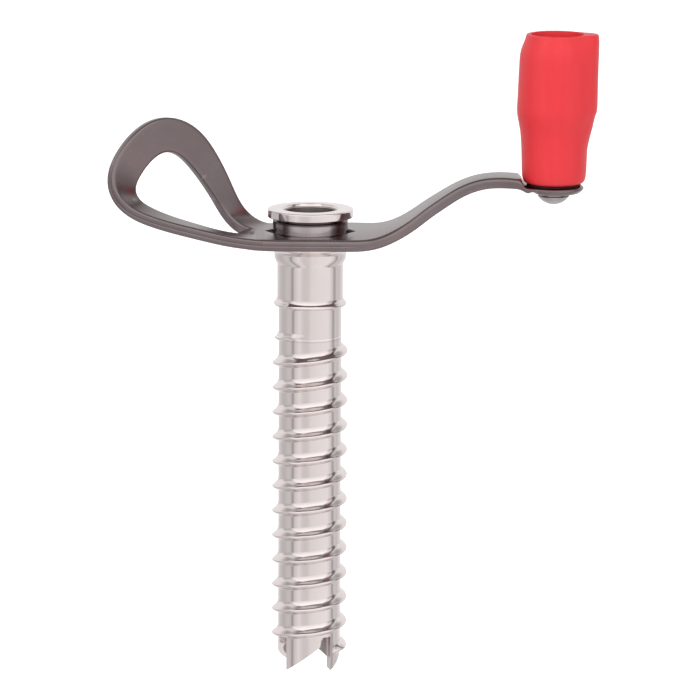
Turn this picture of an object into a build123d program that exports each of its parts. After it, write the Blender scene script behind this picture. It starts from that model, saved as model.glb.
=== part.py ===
"""Ice screw: a thin-walled threaded tube with cutting teeth, a one-piece bent
hanger (carabiner eye and crank arm) held captive on the tube's neck, and a
free-spinning crank knob on an axle at the arm's end.

Millimetres, +Z up along the tube, origin on the tube's axis in the plane where
the hanger rests on its shoulder.  Crank arm towards +X, carabiner eye towards
-X, cutting teeth at the bottom (-Z).
"""
import math
import os
from build123d import *

os.makedirs("parts", exist_ok=True)

# ------------------------------------------------------------------ dimensions
USEFUL_LENGTH = 118.6      # hanger underside to the tips of the teeth
BORE_R = 7.10              # open bore of the tube
TUBE_R = 8.58              # tube wall below the bead
TUBE_R_TOP = 8.97          # tube wall above the bead
BEAD_Z, BEAD_R = -16.1, 9.92

THREAD_CREST_R = 10.30
THREAD_PITCH = 6.91
THREAD_ANGLE0 = 180.0      # the crest passes the -X side at z = THREAD_Z0
THREAD_Z0 = -25.99
THREAD_FADE_TOP = -24.0    # above this nothing of the thread is left
THREAD_FULL_TOP = -27.4
THREAD_END = -112.9            # the crest's lower end

TOOTH_COUNT = 4
TOOTH_ANGLE0 = -90.0 - 46.0    # direction of the first cutting edge, from +X
TOOTH_DEPTH = 9.8

SEAT_R, SEAT_Z = 9.8, -2.3     # collar that carries the hanger
SHOULDER_R = 11.7
HEX_DRIVE_AF = 20.6            # drive hexagon on the tube
HEX_DRIVE_H = 2.6
NECK_R = 10.20
NECK_TOP = 6.45
GROOVE_R = 9.20                # turned groove between the neck and the head ring
GROOVE_TOP = 7.28
SPIGOT_R = 8.60
SPIGOT_TOP = 8.55

RING_R = 11.65
RING_BOT, RING_TOP = 7.30, 9.60
RING_MOUTH_R = 7.78

PLATE_T = 3.30
PLATE_HALF = 15.4
PLATE_GAP = 0.05               # the hanger rests this far above the shoulder
HEX_HOLE_AF = 20.84
ARM_T = 3.0

KNOB_X = 65.9
DISC_R = 8.1
DISC_TOP = 16.25
DISC_BOT = DISC_TOP - ARM_T + 0.15
AXLE_R = 3.00
KNOB_BORE_R = 3.06
KNOB_BOT, KNOB_TOP = 16.95, 57.4
KNOB_FLOOR = 46.0              # floor of the recess in the knob's top
KNOB_MOUTH_R = 7.15
KNOB_MOUTH_DX = 0.45           # the recess sits a little towards the nose


def polar(r, deg, z=0.0):
    a = math.radians(deg)
    return (r * math.cos(a), r * math.sin(a), z)


def revolve_rz(points):
    """Solid of revolution about Z from a closed list of (r, z) points."""
    wire = Polyline(*[(r, 0, z) for r, z in points], close=True)
    return revolve(make_face(wire), Axis.Z, 360)


# ------------------------------------------------------------------ screw tube
def build_tube():
    zt = -USEFUL_LENGTH
    body = revolve_rz([
        (BORE_R, zt), (TUBE_R, zt), (TUBE_R, BEAD_Z - 0.95),
        # bead: a square step below, a flank that runs out into the wall above
        (TUBE_R + 0.55, BEAD_Z - 0.78), (BEAD_R - 0.16, BEAD_Z - 0.60), (BEAD_R - 0.03, BEAD_Z - 0.40),
        (BEAD_R, BEAD_Z - 0.15), (BEAD_R - 0.03, BEAD_Z + 0.10), (BEAD_R - 0.18, BEAD_Z + 0.42),
        (BEAD_R - 0.40, BEAD_Z + 0.66), (BEAD_R - 0.66, BEAD_Z + 0.94), (TUBE_R_TOP + 0.12, BEAD_Z + 1.24),
        (TUBE_R_TOP + 0.03, BEAD_Z + 1.50), (TUBE_R_TOP, BEAD_Z + 1.85),
        (TUBE_R_TOP, -5.9), (9.5, -4.4), (SEAT_R, -3.6),
        (SEAT_R, SEAT_Z), (SHOULDER_R, -0.8), (SHOULDER_R, 0.0),
        (NECK_R, 0.0), (NECK_R, NECK_TOP), (GROOVE_R, NECK_TOP), (GROOVE_R, GROOVE_TOP),
        (SPIGOT_R, GROOVE_TOP), (SPIGOT_R, SPIGOT_TOP), (BORE_R, SPIGOT_TOP)])
    # drive hexagon, corners towards +X and -X
    hexagon = extrude(RegularPolygon(HEX_DRIVE_AF / 2, 6, major_radius=False, rotation=0),
                      HEX_DRIVE_H)
    hexagon = hexagon - Pos(0, 0, -1) * Cylinder(BORE_R + 0.6, 20, align=(Align.CENTER, Align.CENTER, Align.MIN))
    body = body + hexagon
    # cutting teeth: below each profile line the wall is cut away
    r_s = TUBE_R * math.sin(math.radians(45.0))
    x1 = TUBE_R * math.sin(math.radians(23.0))
    top = zt + TOOTH_DEPTH
    step = 360.0 / TOOTH_COUNT
    for k in range(TOOTH_COUNT):
        a0 = TOOTH_ANGLE0 + k * step
        mid = a0 + step / 2.0
        # profile in the plane that faces the tooth: u across, z up
        line = Wire([
            Edge.make_line((-9.5, zt - 2.4), (x1, zt + 7.2)),
            Edge.make_line((x1, zt + 7.2), (x1 + 0.1, zt + 8.9)),
            Edge.make_three_point_arc((x1 + 0.1, zt + 8.9), (x1 + 0.40, zt + 9.54), (x1 + 1.0, top)),
            Edge.make_line((x1 + 1.0, top), (12.0, top)),
            Edge.make_line((12.0, top), (12.0, zt - 6.0)),
            Edge.make_line((12.0, zt - 6.0), (-9.5, zt - 6.0)),
            Edge.make_line((-9.5, zt - 6.0), (-9.5, zt - 2.4)),
        ])
        # plane: u to the right when looking at the tooth from outside
        m = math.radians(mid)
        plane = Plane(origin=(0, 0, 0), x_dir=(-math.sin(m), math.cos(m), 0),
                      z_dir=(math.cos(m), math.sin(m), 0))
        # local y of that plane is +Z
        prof = plane * Face(line)
        prism = extrude(prof, 16.0, dir=Vector(math.cos(m), math.sin(m), 0))
        pie = make_face(Polyline((0, 0, zt - 8), polar(20, a0, zt - 8), polar(28, mid, zt - 8),
                                 polar(20, a0 + step, zt - 8), close=True))
        pie = extrude(pie, 30, dir=Vector(0, 0, 1))
        body = body - (prism & pie)
    return body


def build_thread():
    turns_top = 0.6
    z_start = THREAD_END
    # angle of the crest at height z: one turn per pitch, right-handed
    height = (THREAD_Z0 + turns_top * THREAD_PITCH) - z_start
    ang_start = THREAD_ANGLE0 + 360.0 * (z_start - THREAD_Z0) / THREAD_PITCH
    helix = Helix(pitch=THREAD_PITCH, height=height, radius=TUBE_R)
    # section in the XZ plane at the helix start (x = TUBE_R): flanks that
    # sweep up from the wall, rounded crest
    rc = THREAD_CREST_R
    ri = TUBE_R - 0.45
    wire = Wire([
        Edge.make_line((ri, 0, 2.3), (TUBE_R + 0.02, 0, 2.1)),
        Edge.make_spline([Vector(TUBE_R + 0.02, 0, 2.1), Vector(TUBE_R + 0.30, 0, 1.43), Vector(TUBE_R + 0.72, 0, 0.93), Vector(rc - 0.22, 0, 0.33)]),
        Edge.make_three_point_arc((rc - 0.22, 0, 0.33), (rc, 0, -0.05), (rc - 0.20, 0, -0.37)),
        Edge.make_spline([Vector(rc - 0.20, 0, -0.37), Vector(TUBE_R + 0.72, 0, -0.82), Vector(TUBE_R + 0.02, 0, -1.40)]),
        Edge.make_line((TUBE_R + 0.02, 0, -1.40), (ri, 0, -1.7)),
        Edge.make_line((ri, 0, -1.7), (ri, 0, 2.3)),
    ])
    thread = sweep(Face(wire), path=helix, is_frenet=True)
    thread = Pos(0, 0, z_start) * Rot(0, 0, ang_start) * thread
    # run-out: the crest is turned down to the wall at the upper end
    lo = TUBE_R - 0.05
    hi = THREAD_CREST_R + 0.3
    env = revolve_rz([
        (TUBE_R - 1.2, -USEFUL_LENGTH), (hi, -USEFUL_LENGTH), (hi, THREAD_FULL_TOP), (lo, THREAD_FADE_TOP), (TUBE_R - 1.2, THREAD_FADE_TOP)])
    return thread & env


def build_ring():
    c = 0.25
    return revolve_rz([
        (SPIGOT_R + 0.0, RING_BOT), (RING_R - c, RING_BOT), (RING_R, RING_BOT + c),
        (RING_R, RING_TOP - c), (RING_R - c, RING_TOP), (RING_MOUTH_R, RING_TOP),
        (BORE_R, RING_TOP - 0.95), (BORE_R, SPIGOT_TOP), (SPIGOT_R, SPIGOT_TOP)])


# ---------------------------------------------------------------------- hanger
# crank arm: x, top surface z, full width
ARM = [
    (12.0, 3.30, 30.9), (15.0, 3.36, 29.7), (17.6, 3.62, 27.0), (20.2, 4.25, 23.6),
    (22.9, 5.35, 20.6), (25.7, 6.9, 18.8), (28.4, 8.75, 17.3), (31.1, 10.75, 16.0),
    (33.9, 12.65, 14.9), (36.6, 14.4, 13.9), (39.3, 16.0, 13.0), (42.1, 17.3, 12.3),
    (44.8, 18.2, 11.9), (47.5, 18.75, 11.7), (50.2, 18.98, 11.8), (52.9, 18.98, 12.0),
    (55.2, 18.82, 12.5),
]
# step down to the flat end disc
ARM_END = [(56.35, 18.60), (57.05, 18.0), (57.45, 17.2), (57.95, 16.6), (58.7, 16.32), (60.6, DISC_TOP)]
# underside of the same part, point for point from the last arm row on
ARM_END_BOT = [(55.0, 15.92), (56.2, 15.78), (57.2, 15.45), (58.0, 14.98), (58.8, 14.46), (59.6, 13.94), (60.6, DISC_BOT)]


def arm_top_points():
    return [(x, z) for x, z, w in ARM] + ARM_END


def offset_below(points, t0, t1):
    """Points at the sheet's thickness below a top line, along its normal."""
    out = []
    n = len(points)
    for i, (x, z) in enumerate(points):
        a = points[max(i - 1, 0)]
        b = points[min(i + 1, n - 1)]
        tx, tz = b[0] - a[0], b[1] - a[1]
        ln = math.hypot(tx, tz)
        f = min(max((x - 12.0) / 15.0, 0.0), 1.0)
        t = t0 + (t1 - t0) * f
        out.append((x + t * tz / ln, z - t * tx / ln))
    return out


def build_plate_and_arm():
    top = arm_top_points()
    bottom = offset_below(top, PLATE_T - PLATE_GAP, ARM_T)
    bottom[0] = (12.0, PLATE_GAP)
    bottom[-len(ARM_END_BOT):] = ARM_END_BOT
    disc_bot = bottom[-1][1]
    x_end = KNOB_X + DISC_R + 2.0
    x_left = -26.0
    up = Edge.make_spline([Vector(x, 0, z) for x, z in top],
                          tangents=[Vector(1, 0, 0), Vector(1, 0, 0)])
    dn = Edge.make_spline([Vector(x, 0, z) for x, z in bottom],
                          tangents=[Vector(1, 0, 0), Vector(1, 0, 0)])
    wire = Wire([
        Edge.make_line((x_left, 0, PLATE_T), (12.0, 0, PLATE_T)), up,
        Edge.make_line((60.6, 0, DISC_TOP), (x_end, 0, DISC_TOP)),
        Edge.make_line((x_end, 0, DISC_TOP), (x_end, 0, disc_bot)),
        Edge.make_line((x_end, 0, disc_bot), (60.6, 0, disc_bot)), dn,
        Edge.make_line((12.0, 0, PLATE_GAP), (x_left, 0, PLATE_GAP)),
        Edge.make_line((x_left, 0, PLATE_GAP), (x_left, 0, PLATE_T)),
    ])
    slab = extrude(Face(wire), 20.0, dir=Vector(0, 1, 0), both=True)

    # plan outline
    half = [(x, w / 2.0) for x, z, w in ARM]
    xd = KNOB_X - math.sqrt(DISC_R ** 2 - 6.9 ** 2)
    pts_u = [(-6.0, PLATE_HALF), (0.0, PLATE_HALF + 0.05), (6.0, PLATE_HALF + 0.05)] + half + [(58.3, 6.55), (xd, 6.9)]
    pts_l = [(x, -y) for x, y in pts_u]
    upper = Edge.make_spline([Vector(x, y, 0) for x, y in pts_u])
    lower = Edge.make_spline([Vector(x, y, 0) for x, y in pts_l])
    end = Edge.make_three_point_arc((xd, 6.9, 0), (KNOB_X + DISC_R, 0, 0), (xd, -6.9, 0))
    # left side: flared to carry both strands of the carabiner eye
    left = Edge.make_spline([
        Vector(-6.0, PLATE_HALF, 0), Vector(-10.5, 14.2, 0), Vector(-14.2, 10.2, 0), Vector(-17.2, 4.6, 0),
        Vector(-19.6, -1.2, 0), Vector(-20.3, -5.5, 0), Vector(-19.2, -10.0, 0),
        Vector(-16.0, -13.6, 0), Vector(-11.0, -15.2, 0), Vector(-6.0, -PLATE_HALF, 0)])
    outline = Face(Wire([upper, end, lower, left]))
    cookie = extrude(outline, 30.0, dir=Vector(0, 0, 1))
    cookie = Pos(0, 0, -5) * cookie
    return slab & cookie


# carabiner eye: one twisted strip, given by its two upper/front borders
# (outer point, inner point), starting and ending inside the plate
EYE = [
    ((-9.00, -14.90, 3.18), (-9.00, -4.60, 3.18)),
    ((-13.00, -14.85, 3.20), (-13.00, -4.90, 3.20)),
    ((-17.16, -14.59, 3.53), (-17.46, -5.62, 3.47)),
    ((-21.41, -14.50, 4.14), (-21.68, -6.20, 4.02)),
    ((-25.70, -14.50, 5.02), (-25.76, -6.38, 4.95)),
    ((-29.99, -14.50, 6.02), (-29.74, -6.32, 6.08)),
    ((-34.15, -14.50, 7.02), (-33.59, -6.32, 7.23)),
    ((-38.03, -14.52, 8.01), (-37.22, -6.48, 8.45)),
    ((-41.64, -14.62, 9.06), (-40.44, -6.88, 9.80)),
    ((-44.91, -14.80, 10.21), (-43.03, -7.52, 11.18)),
    ((-47.77, -14.97, 11.61), (-44.95, -8.24, 12.57)),
    ((-50.14, -15.02, 13.36), (-46.14, -8.76, 14.06)),
    ((-51.86, -14.80, 15.60), (-46.61, -8.89, 15.60)),
    ((-52.83, -14.02, 18.28), (-46.44, -8.61, 17.16)),
    ((-52.90, -12.76, 21.11), (-45.74, -7.99, 18.73)),
    ((-52.01, -11.50, 23.99), (-44.71, -7.15, 20.37)),
    ((-50.39, -10.14, 26.86), (-43.46, -6.17, 22.01)),
    ((-48.25, -8.46, 29.64), (-42.06, -5.10, 23.43)),
    ((-45.52, -6.41, 32.17), (-40.63, -4.06, 24.44)),
    ((-42.23, -4.08, 33.97), (-39.27, -3.13, 24.95)),
    ((-38.59, -1.67, 34.50), (-37.92, -2.25, 24.98)),
    ((-34.84, 0.67, 33.63), (-36.43, -1.33, 24.53)),
    ((-31.30, 2.74, 31.49), (-34.81, -0.39, 23.50)),
    ((-28.37, 4.32, 28.44), (-33.16, 0.51, 21.90)),
    ((-26.05, 5.45, 24.93), (-31.56, 1.33, 19.90)),
    ((-24.10, 6.32, 21.32), (-29.96, 2.13, 17.69)),
    ((-22.40, 7.04, 17.71), (-28.37, 2.91, 15.29)),
    ((-20.91, 7.63, 14.19), (-26.75, 3.68, 12.66)),
    ((-19.52, 8.20, 11.05), (-25.09, 4.46, 9.87)),
    ((-17.84, 9.11, 8.22), (-23.02, 4.67, 7.09)),
    ((-15.48, 10.56, 5.64), (-20.17, 4.02, 4.81)),
    ((-12.60, 12.20, 3.75), (-16.90, 3.40, 3.45)),
    ((-8.60, 12.90, 3.18), (-12.60, 3.00, 3.18)),
]
EYE_T = 3.00
EYE_C = 0.70


def vsub(a, b):
    return tuple(x - y for x, y in zip(a, b))


def vadd(a, b, s=1.0):
    return tuple(x + s * y for x, y in zip(a, b))


def vunit(a):
    n = math.sqrt(sum(x * x for x in a))
    return tuple(x / n for x in a)


def vcross(a, b):
    return (a[1] * b[2] - a[2] * b[1], a[2] * b[0] - a[0] * b[2], a[0] * b[1] - a[1] * b[0])


def vdot(a, b):
    return sum(x * y for x, y in zip(a, b))


def eye_sections():
    mids = [tuple((p + q) / 2 for p, q in zip(o, i)) for o, i in EYE]
    out = []
    n = len(EYE)
    for k, (o, i) in enumerate(EYE):
        w = vunit(vsub(i, o))
        if k == 0:
            t = (-1.0, 0.0, 0.0)
        elif k == n - 1:
            t = (1.0, 0.0, 0.0)
        else:
            t = vunit(vsub(mids[k + 1], mids[k - 1]))
        # path runs left along the front strand, inner border towards +Y:
        # normal = up at the start
        nrm = vunit(vcross(w, t))
        if k in (0, n - 1):
            nrm = (0.0, 0.0, 1.0)
        out.append((o, i, w, nrm))
    return out


def build_eye():
    wires = []
    for o, i, w, nrm in eye_sections():
        c, T = EYE_C, EYE_T
        p = [
            vadd(o, w, c), vadd(i, w, -c),
            vadd(i, nrm, -c), vadd(i, nrm, -(T - c)),
            vadd(vadd(i, w, -c), nrm, -T), vadd(vadd(o, w, c), nrm, -T),
            vadd(o, nrm, -(T - c)), vadd(o, nrm, -c),
        ]
        wires.append(Wire.make_polygon([Vector(*q) for q in p], close=True))
    return Solid.make_loft(wires, ruled=False)


def build_hanger():
    hanger = build_plate_and_arm() + build_eye()
    hole = extrude(RegularPolygon(HEX_HOLE_AF / 2, 6, major_radius=False, rotation=0), 20.0)
    hanger = hanger - Pos(0, 0, -8) * hole
    # the pad's underside is turned off towards its rim
    c0 = DISC_BOT
    wedge = Pos(KNOB_X, 0, 0) * revolve_rz([(5.5, c0 - 0.4), (5.5, c0), (8.12, c0 + 1.70), (10.8, c0 + 1.70), (10.8, c0 - 0.4)])
    wedge = wedge & Pos(KNOB_X - 8.3, 0, c0) * Box(40, 30, 8, align=(Align.MIN, Align.CENTER, Align.CENTER))
    hanger = hanger - wedge
    # seat of the axle
    hanger = hanger - Pos(KNOB_X, 0, 8) * Cylinder(AXLE_R, 20)
    return hanger


# ------------------------------------------------------------------------ knob
def nose_radius(deg, r0, d, r1):
    """Distance from the axis, in direction deg, of the hull of a circle of
    radius r0 on the axis and a circle of radius r1 at distance d towards +X."""
    t = math.radians(deg)
    a = math.acos(min((r0 - r1) / d, 1.0))
    t = abs(math.atan2(math.sin(t), math.cos(t)))
    # tangent points
    tp0 = a
    p1 = (d + r1 * math.cos(a), r1 * math.sin(a))
    tp1 = math.atan2(p1[1], p1[0])
    if t >= tp0:
        return r0
    if t <= tp1:
        c = d * math.cos(t)
        return c + math.sqrt(max(r1 * r1 - (d * math.sin(t)) ** 2, 0.0))
    # straight side: distance r0 along the tangent's normal
    return r0 / math.cos(t - a)


def nose_wire(z, r0, d, r1, n=32):
    pts = []
    for k in range(n):
        deg = 360.0 * (k + 0.5) / n
        r = nose_radius(deg, r0, d, r1)
        pts.append(Vector(*polar(r, deg, z)))
    return Wire([Edge.make_spline(pts, periodic=True)])


KNOB = [  # z, radius about the axis, nose offset, nose radius
    (KNOB_BOT, 7.50, 0.3, 7.25),
    (17.20, 8.00, 0.3, 7.75),
    (17.60, 8.32, 0.3, 8.07),
    (18.60, 8.58, 0.3, 8.33),
    (20.60, 8.74, 0.3, 8.49),
    (23.00, 8.80, 0.3, 8.55),
    (24.60, 8.86, 0.5, 8.40),
    (26.20, 8.90, 0.9, 8.05),
    (27.85, 9.00, 1.5, 7.75),
    (29.50, 9.12, 2.2, 7.40),
    (31.40, 9.32, 3.0, 7.10),
    (32.20, 9.50, 3.4, 6.90),
    (33.85, 9.82, 3.95, 6.70),
    (34.70, 10.00, 4.30, 6.55),
    (35.50, 10.14, 4.65, 6.42),
    (36.30, 10.21, 5.10, 6.30),
    (37.20, 10.23, 5.30, 6.20),
    (38.20, 10.21, 5.40, 6.15),
    (40.40, 10.08, 5.50, 6.08),
    (43.60, 9.98, 5.55, 6.03),
    (48.00, 9.79, 5.64, 6.00),
    (51.00, 9.66, 5.72, 6.00),
    (52.30, 9.50, 5.80, 5.95),
    (53.40, 9.25, 6.00, 5.75),
    (54.50, 8.83, 6.60, 5.18),
    (55.60, 8.38, 7.30, 4.48),
    (56.90, 7.98, 8.00, 3.65),
    (KNOB_TOP, 7.72, 8.30, 3.20),
]


def build_knob():
    knob = Solid.make_loft([nose_wire(*row) for row in KNOB], ruled=True)
    knob = knob - Pos(0, 0, KNOB_BOT - 1) * Cylinder(KNOB_BORE_R, 60, align=(Align.CENTER, Align.CENTER, Align.MIN))
    knob = knob - Pos(KNOB_MOUTH_DX, 0, KNOB_FLOOR) * Cylinder(KNOB_MOUTH_R, 30, align=(Align.CENTER, Align.CENTER, Align.MIN))
    return Pos(KNOB_X, 0, 0) * knob


def build_axle():
    # dome head below the arm, shank, peened end above the upper washer
    dome_r, dome_h = 4.30, 2.35
    rr = (dome_r ** 2 + dome_h ** 2) / (2 * dome_h)
    zc = DISC_BOT - dome_h + rr
    amax = math.asin(dome_r / rr)
    pts = [(0.0, DISC_BOT - dome_h)]
    for k in range(1, 10):
        a = amax * k / 9
        pts.append((rr * math.sin(a), zc - rr * math.cos(a)))
    pts[-1] = (dome_r, DISC_BOT)
    zt = KNOB_FLOOR + 1.3
    pts += [(AXLE_R, DISC_BOT), (AXLE_R, zt), (4.2, zt)]
    for k in range(1, 6):
        a = math.radians(90.0 * k / 6)
        pts.append((4.2 * math.cos(a), zt + 1.5 * math.sin(a)))
    pts.append((0.0, zt + 1.5))
    return Pos(KNOB_X, 0, 0) * revolve_rz(pts)


def washer(z0, z1, r_out):
    ring = Cylinder(r_out, z1 - z0, align=(Align.CENTER, Align.CENTER, Align.MIN)) \
        - Cylinder(AXLE_R, z1 - z0, align=(Align.CENTER, Align.CENTER, Align.MIN))
    return Pos(KNOB_X, 0, z0) * ring


if __name__ == "__main__":
    tube = build_tube() + build_thread()
    parts = {
        "screw_tube": tube,
        "head_ring": build_ring(),
        "hanger": build_hanger(),
        "knob_axle": build_axle(),
        "knob_thrust_washer": washer(DISC_TOP, KNOB_BOT - 0.08, 7.3),
        "knob": build_knob(),
        "knob_retaining_washer": washer(KNOB_FLOOR + 0.3, KNOB_FLOOR + 1.3, 5.6),
    }
    for name, shape in parts.items():
        sol = shape.solids()
        print(name, len(sol), "solid(s)", round(shape.volume, 1), "mm3", shape.is_valid)
        export_step(shape, "parts/%s.step" % name)
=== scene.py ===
import math
import bpy
import numpy as np
from mathutils import Vector, Matrix


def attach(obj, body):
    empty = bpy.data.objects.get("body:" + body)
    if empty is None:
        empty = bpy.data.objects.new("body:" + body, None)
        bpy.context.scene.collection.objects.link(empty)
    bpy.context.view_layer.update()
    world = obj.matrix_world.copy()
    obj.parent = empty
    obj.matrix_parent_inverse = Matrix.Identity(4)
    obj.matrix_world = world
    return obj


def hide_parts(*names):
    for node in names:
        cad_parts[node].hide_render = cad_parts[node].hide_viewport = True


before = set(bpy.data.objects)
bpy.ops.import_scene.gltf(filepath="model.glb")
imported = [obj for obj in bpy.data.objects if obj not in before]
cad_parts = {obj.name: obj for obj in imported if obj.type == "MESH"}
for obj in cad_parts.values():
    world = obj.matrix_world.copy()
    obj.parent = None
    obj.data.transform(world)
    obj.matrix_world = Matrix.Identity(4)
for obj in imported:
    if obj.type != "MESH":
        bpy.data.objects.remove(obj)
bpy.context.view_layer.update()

# Everything below is worked out in millimetres and turned into metres when a
# mesh is made.  +Z up along the tube, crank arm towards +X, eye towards -X.
MM = 0.001

# ---------------------------------------------------------------- dimensions
USEFUL = 118.6
BORE_R = 7.10
TUBE_R = 8.58
TUBE_R_TOP = 8.97
CREST_R = 10.30
PITCH = 6.91
THREAD_Z0 = -25.99          # crest on the -X side
FULL_TOP, FADE_TOP = -27.4, -24.0     # the crest sinks to the wall between these
END_LOW, END_FULL = -113.17, -112.60  # and rises from it here
TOOTH_A0 = -136.0
TOOTH_DEPTH = 9.8
HEX_AF = 20.6
NECK_R = 10.20
KNOB_X = 65.9


# --------------------------------------------------------------- mesh helpers
def cubic(xs, ys, q):
    """Natural cubic spline through (xs, ys), at q. ys may hold several columns."""
    xs = np.asarray(xs, float)
    ys = np.asarray(ys, float)
    one = ys.ndim == 1
    if one:
        ys = ys[:, None]
    n = len(xs)
    h = np.diff(xs)
    a = np.zeros((n, n))
    b = np.zeros((n, ys.shape[1]))
    a[0, 0] = a[-1, -1] = 1
    for i in range(1, n - 1):
        a[i, i - 1], a[i, i], a[i, i + 1] = h[i - 1], 2 * (h[i - 1] + h[i]), h[i]
        b[i] = 6 * ((ys[i + 1] - ys[i]) / h[i] - (ys[i] - ys[i - 1]) / h[i - 1])
    m = np.linalg.solve(a, b)
    q = np.asarray(q, float)
    k = np.clip(np.searchsorted(xs, q, side="right") - 1, 0, n - 2)
    t = (q - xs[k])[:, None]
    hk = h[k][:, None]
    u = hk - t
    out = (m[k] * u ** 3 + m[k + 1] * t ** 3) / (6 * hk) \
        + (ys[k] / hk - m[k] * hk / 6) * u + (ys[k + 1] / hk - m[k + 1] * hk / 6) * t
    return out[:, 0] if one else out


def make_mesh(name, verts, faces, sharp=None, merge=2e-4):
    """Mesh object from millimetre vertices. Vertices closer than merge are one,
    and faces that vanish with them are left out."""
    v = np.asarray(verts, float)
    key = np.round(v / merge).astype(np.int64)
    _, first, inv = np.unique(key, axis=0, return_index=True, return_inverse=True)
    inv = inv.reshape(-1)
    v = v[first]
    out = []
    seen = set()
    for f in faces:
        g = []
        for i in f:
            j = int(inv[i])
            if not g or g[-1] != j:
                g.append(j)
        if len(g) > 1 and g[0] == g[-1]:
            g.pop()
        if len(g) < 3 or len(set(g)) != len(g):
            continue
        kk = tuple(sorted(g))
        if kk in seen:
            continue
        seen.add(kk)
        out.append(g)
    used = np.zeros(len(v), bool)
    for g in out:
        used[g] = True
    new = np.cumsum(used) - 1
    v = v[used] * MM
    out = [[int(new[j]) for j in g] for g in out]
    me = bpy.data.meshes.new(name)
    me.from_pydata(v.tolist(), [], out)
    me.validate()
    me.update()
    o = bpy.data.objects.new(name, me)
    bpy.context.scene.collection.objects.link(o)
    import bmesh
    bm = bmesh.new()
    bm.from_mesh(me)
    bmesh.ops.recalc_face_normals(bm, faces=bm.faces)
    bm.to_mesh(me)
    bm.free()
    for p in me.polygons:
        p.use_smooth = True
    if sharp is not None:
        me.set_sharp_from_angle(angle=math.radians(sharp))
    me.update()
    return o


def revolve(name, profile, segs=192, centre=(0.0, 0.0), sharp=38.0, twist=0.0):
    """Closed (r, z) profile turned about Z."""
    n = len(profile)
    verts, faces = [], []
    for k in range(segs):
        a = 2 * math.pi * k / segs + twist
        c, s = math.cos(a), math.sin(a)
        for r, z in profile:
            verts.append((centre[0] + r * c, centre[1] + r * s, z))
    for k in range(segs):
        k2 = (k + 1) % segs
        for i in range(n):
            j = (i + 1) % n
            faces.append((k * n + i, k2 * n + i, k2 * n + j, k * n + j))
    return make_mesh(name, verts, faces, sharp)


def fillet(points, radii, steps=5):
    """Closed polygon of (r, z) with its corners rounded."""
    out = []
    n = len(points)
    for i in range(n):
        p = np.array(points[i], float)
        rad = radii[i] if isinstance(radii, (list, tuple)) else radii
        a = np.array(points[i - 1], float)
        b = np.array(points[(i + 1) % n], float)
        u, v = a - p, b - p
        lu, lv = np.linalg.norm(u), np.linalg.norm(v)
        if rad <= 0 or lu < 1e-6 or lv < 1e-6:
            out.append(tuple(p))
            continue
        u, v = u / lu, v / lv
        ang = math.acos(max(-1, min(1, float(u @ v))))
        if ang > math.radians(176):
            out.append(tuple(p))
            continue
        d = min(rad / math.tan(ang / 2), 0.49 * lu, 0.49 * lv)
        rad = d * math.tan(ang / 2)
        bis = (u + v) / np.linalg.norm(u + v)
        c = p + bis * rad / math.sin(ang / 2)
        s0, s1 = p + u * d - c, p + v * d - c
        t0, t1 = math.atan2(s0[1], s0[0]), math.atan2(s1[1], s1[0])
        dt = (t1 - t0 + math.pi) % (2 * math.pi) - math.pi
        for k in range(steps + 1):
            t = t0 + dt * k / steps
            out.append((c[0] + rad * math.cos(t), c[1] + rad * math.sin(t)))
    return out


# ------------------------------------------------------------------ materials
def material(name):
    m = bpy.data.materials.new(name)
    m.use_nodes = True
    nt = m.node_tree
    for n in list(nt.nodes):
        nt.nodes.remove(n)
    out = nt.nodes.new("ShaderNodeOutputMaterial")
    bsdf = nt.nodes.new("ShaderNodeBsdfPrincipled")
    nt.links.new(bsdf.outputs[0], out.inputs[0])
    tc = nt.nodes.new("ShaderNodeTexCoord")
    return m, nt, bsdf, tc


def node(nt, kind, **kw):
    n = nt.nodes.new(kind)
    for k, v in kw.items():
        if k in n.inputs.keys():
            n.inputs[k].default_value = v
        else:
            setattr(n, k, v)
    return n


def mapping(nt, tc, scale, loc=(0, 0, 0), rot=(0, 0, 0), out="Object"):
    m = nt.nodes.new("ShaderNodeMapping")
    m.inputs["Scale"].default_value = scale
    m.inputs["Location"].default_value = loc
    m.inputs["Rotation"].default_value = rot
    nt.links.new(tc.outputs[out], m.inputs["Vector"])
    return m


def noise(nt, vec, scale, detail=4.0, rough=0.55, distortion=0.0):
    n = nt.nodes.new("ShaderNodeTexNoise")
    n.inputs["Scale"].default_value = scale
    n.inputs["Detail"].default_value = detail
    n.inputs["Roughness"].default_value = rough
    n.inputs["Distortion"].default_value = distortion
    nt.links.new(vec.outputs[0], n.inputs["Vector"])
    return n


def ramp(nt, fac, stops, interp="LINEAR"):
    r = nt.nodes.new("ShaderNodeValToRGB")
    r.color_ramp.interpolation = interp
    el = r.color_ramp.elements
    while len(el) > 1:
        el.remove(el[-1])
    first = True
    for pos, col in stops:
        if not hasattr(col, "__len__"):
            col = (col, col, col, 1.0)
        elif len(col) == 3:
            col = (*col, 1.0)
        if first:
            el[0].position, el[0].color = pos, col
            first = False
        else:
            e = el.new(pos)
            e.color = col
    nt.links.new(fac, r.inputs["Fac"])
    return r


def maths(nt, op, a, b=None, c=None, clamp=False):
    n = nt.nodes.new("ShaderNodeMath")
    n.operation = op
    n.use_clamp = clamp
    for i, x in enumerate((a, b, c)):
        if x is None:
            continue
        if isinstance(x, (int, float)):
            n.inputs[i].default_value = x
        else:
            nt.links.new(x, n.inputs[i])
    return n.outputs[0]


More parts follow.
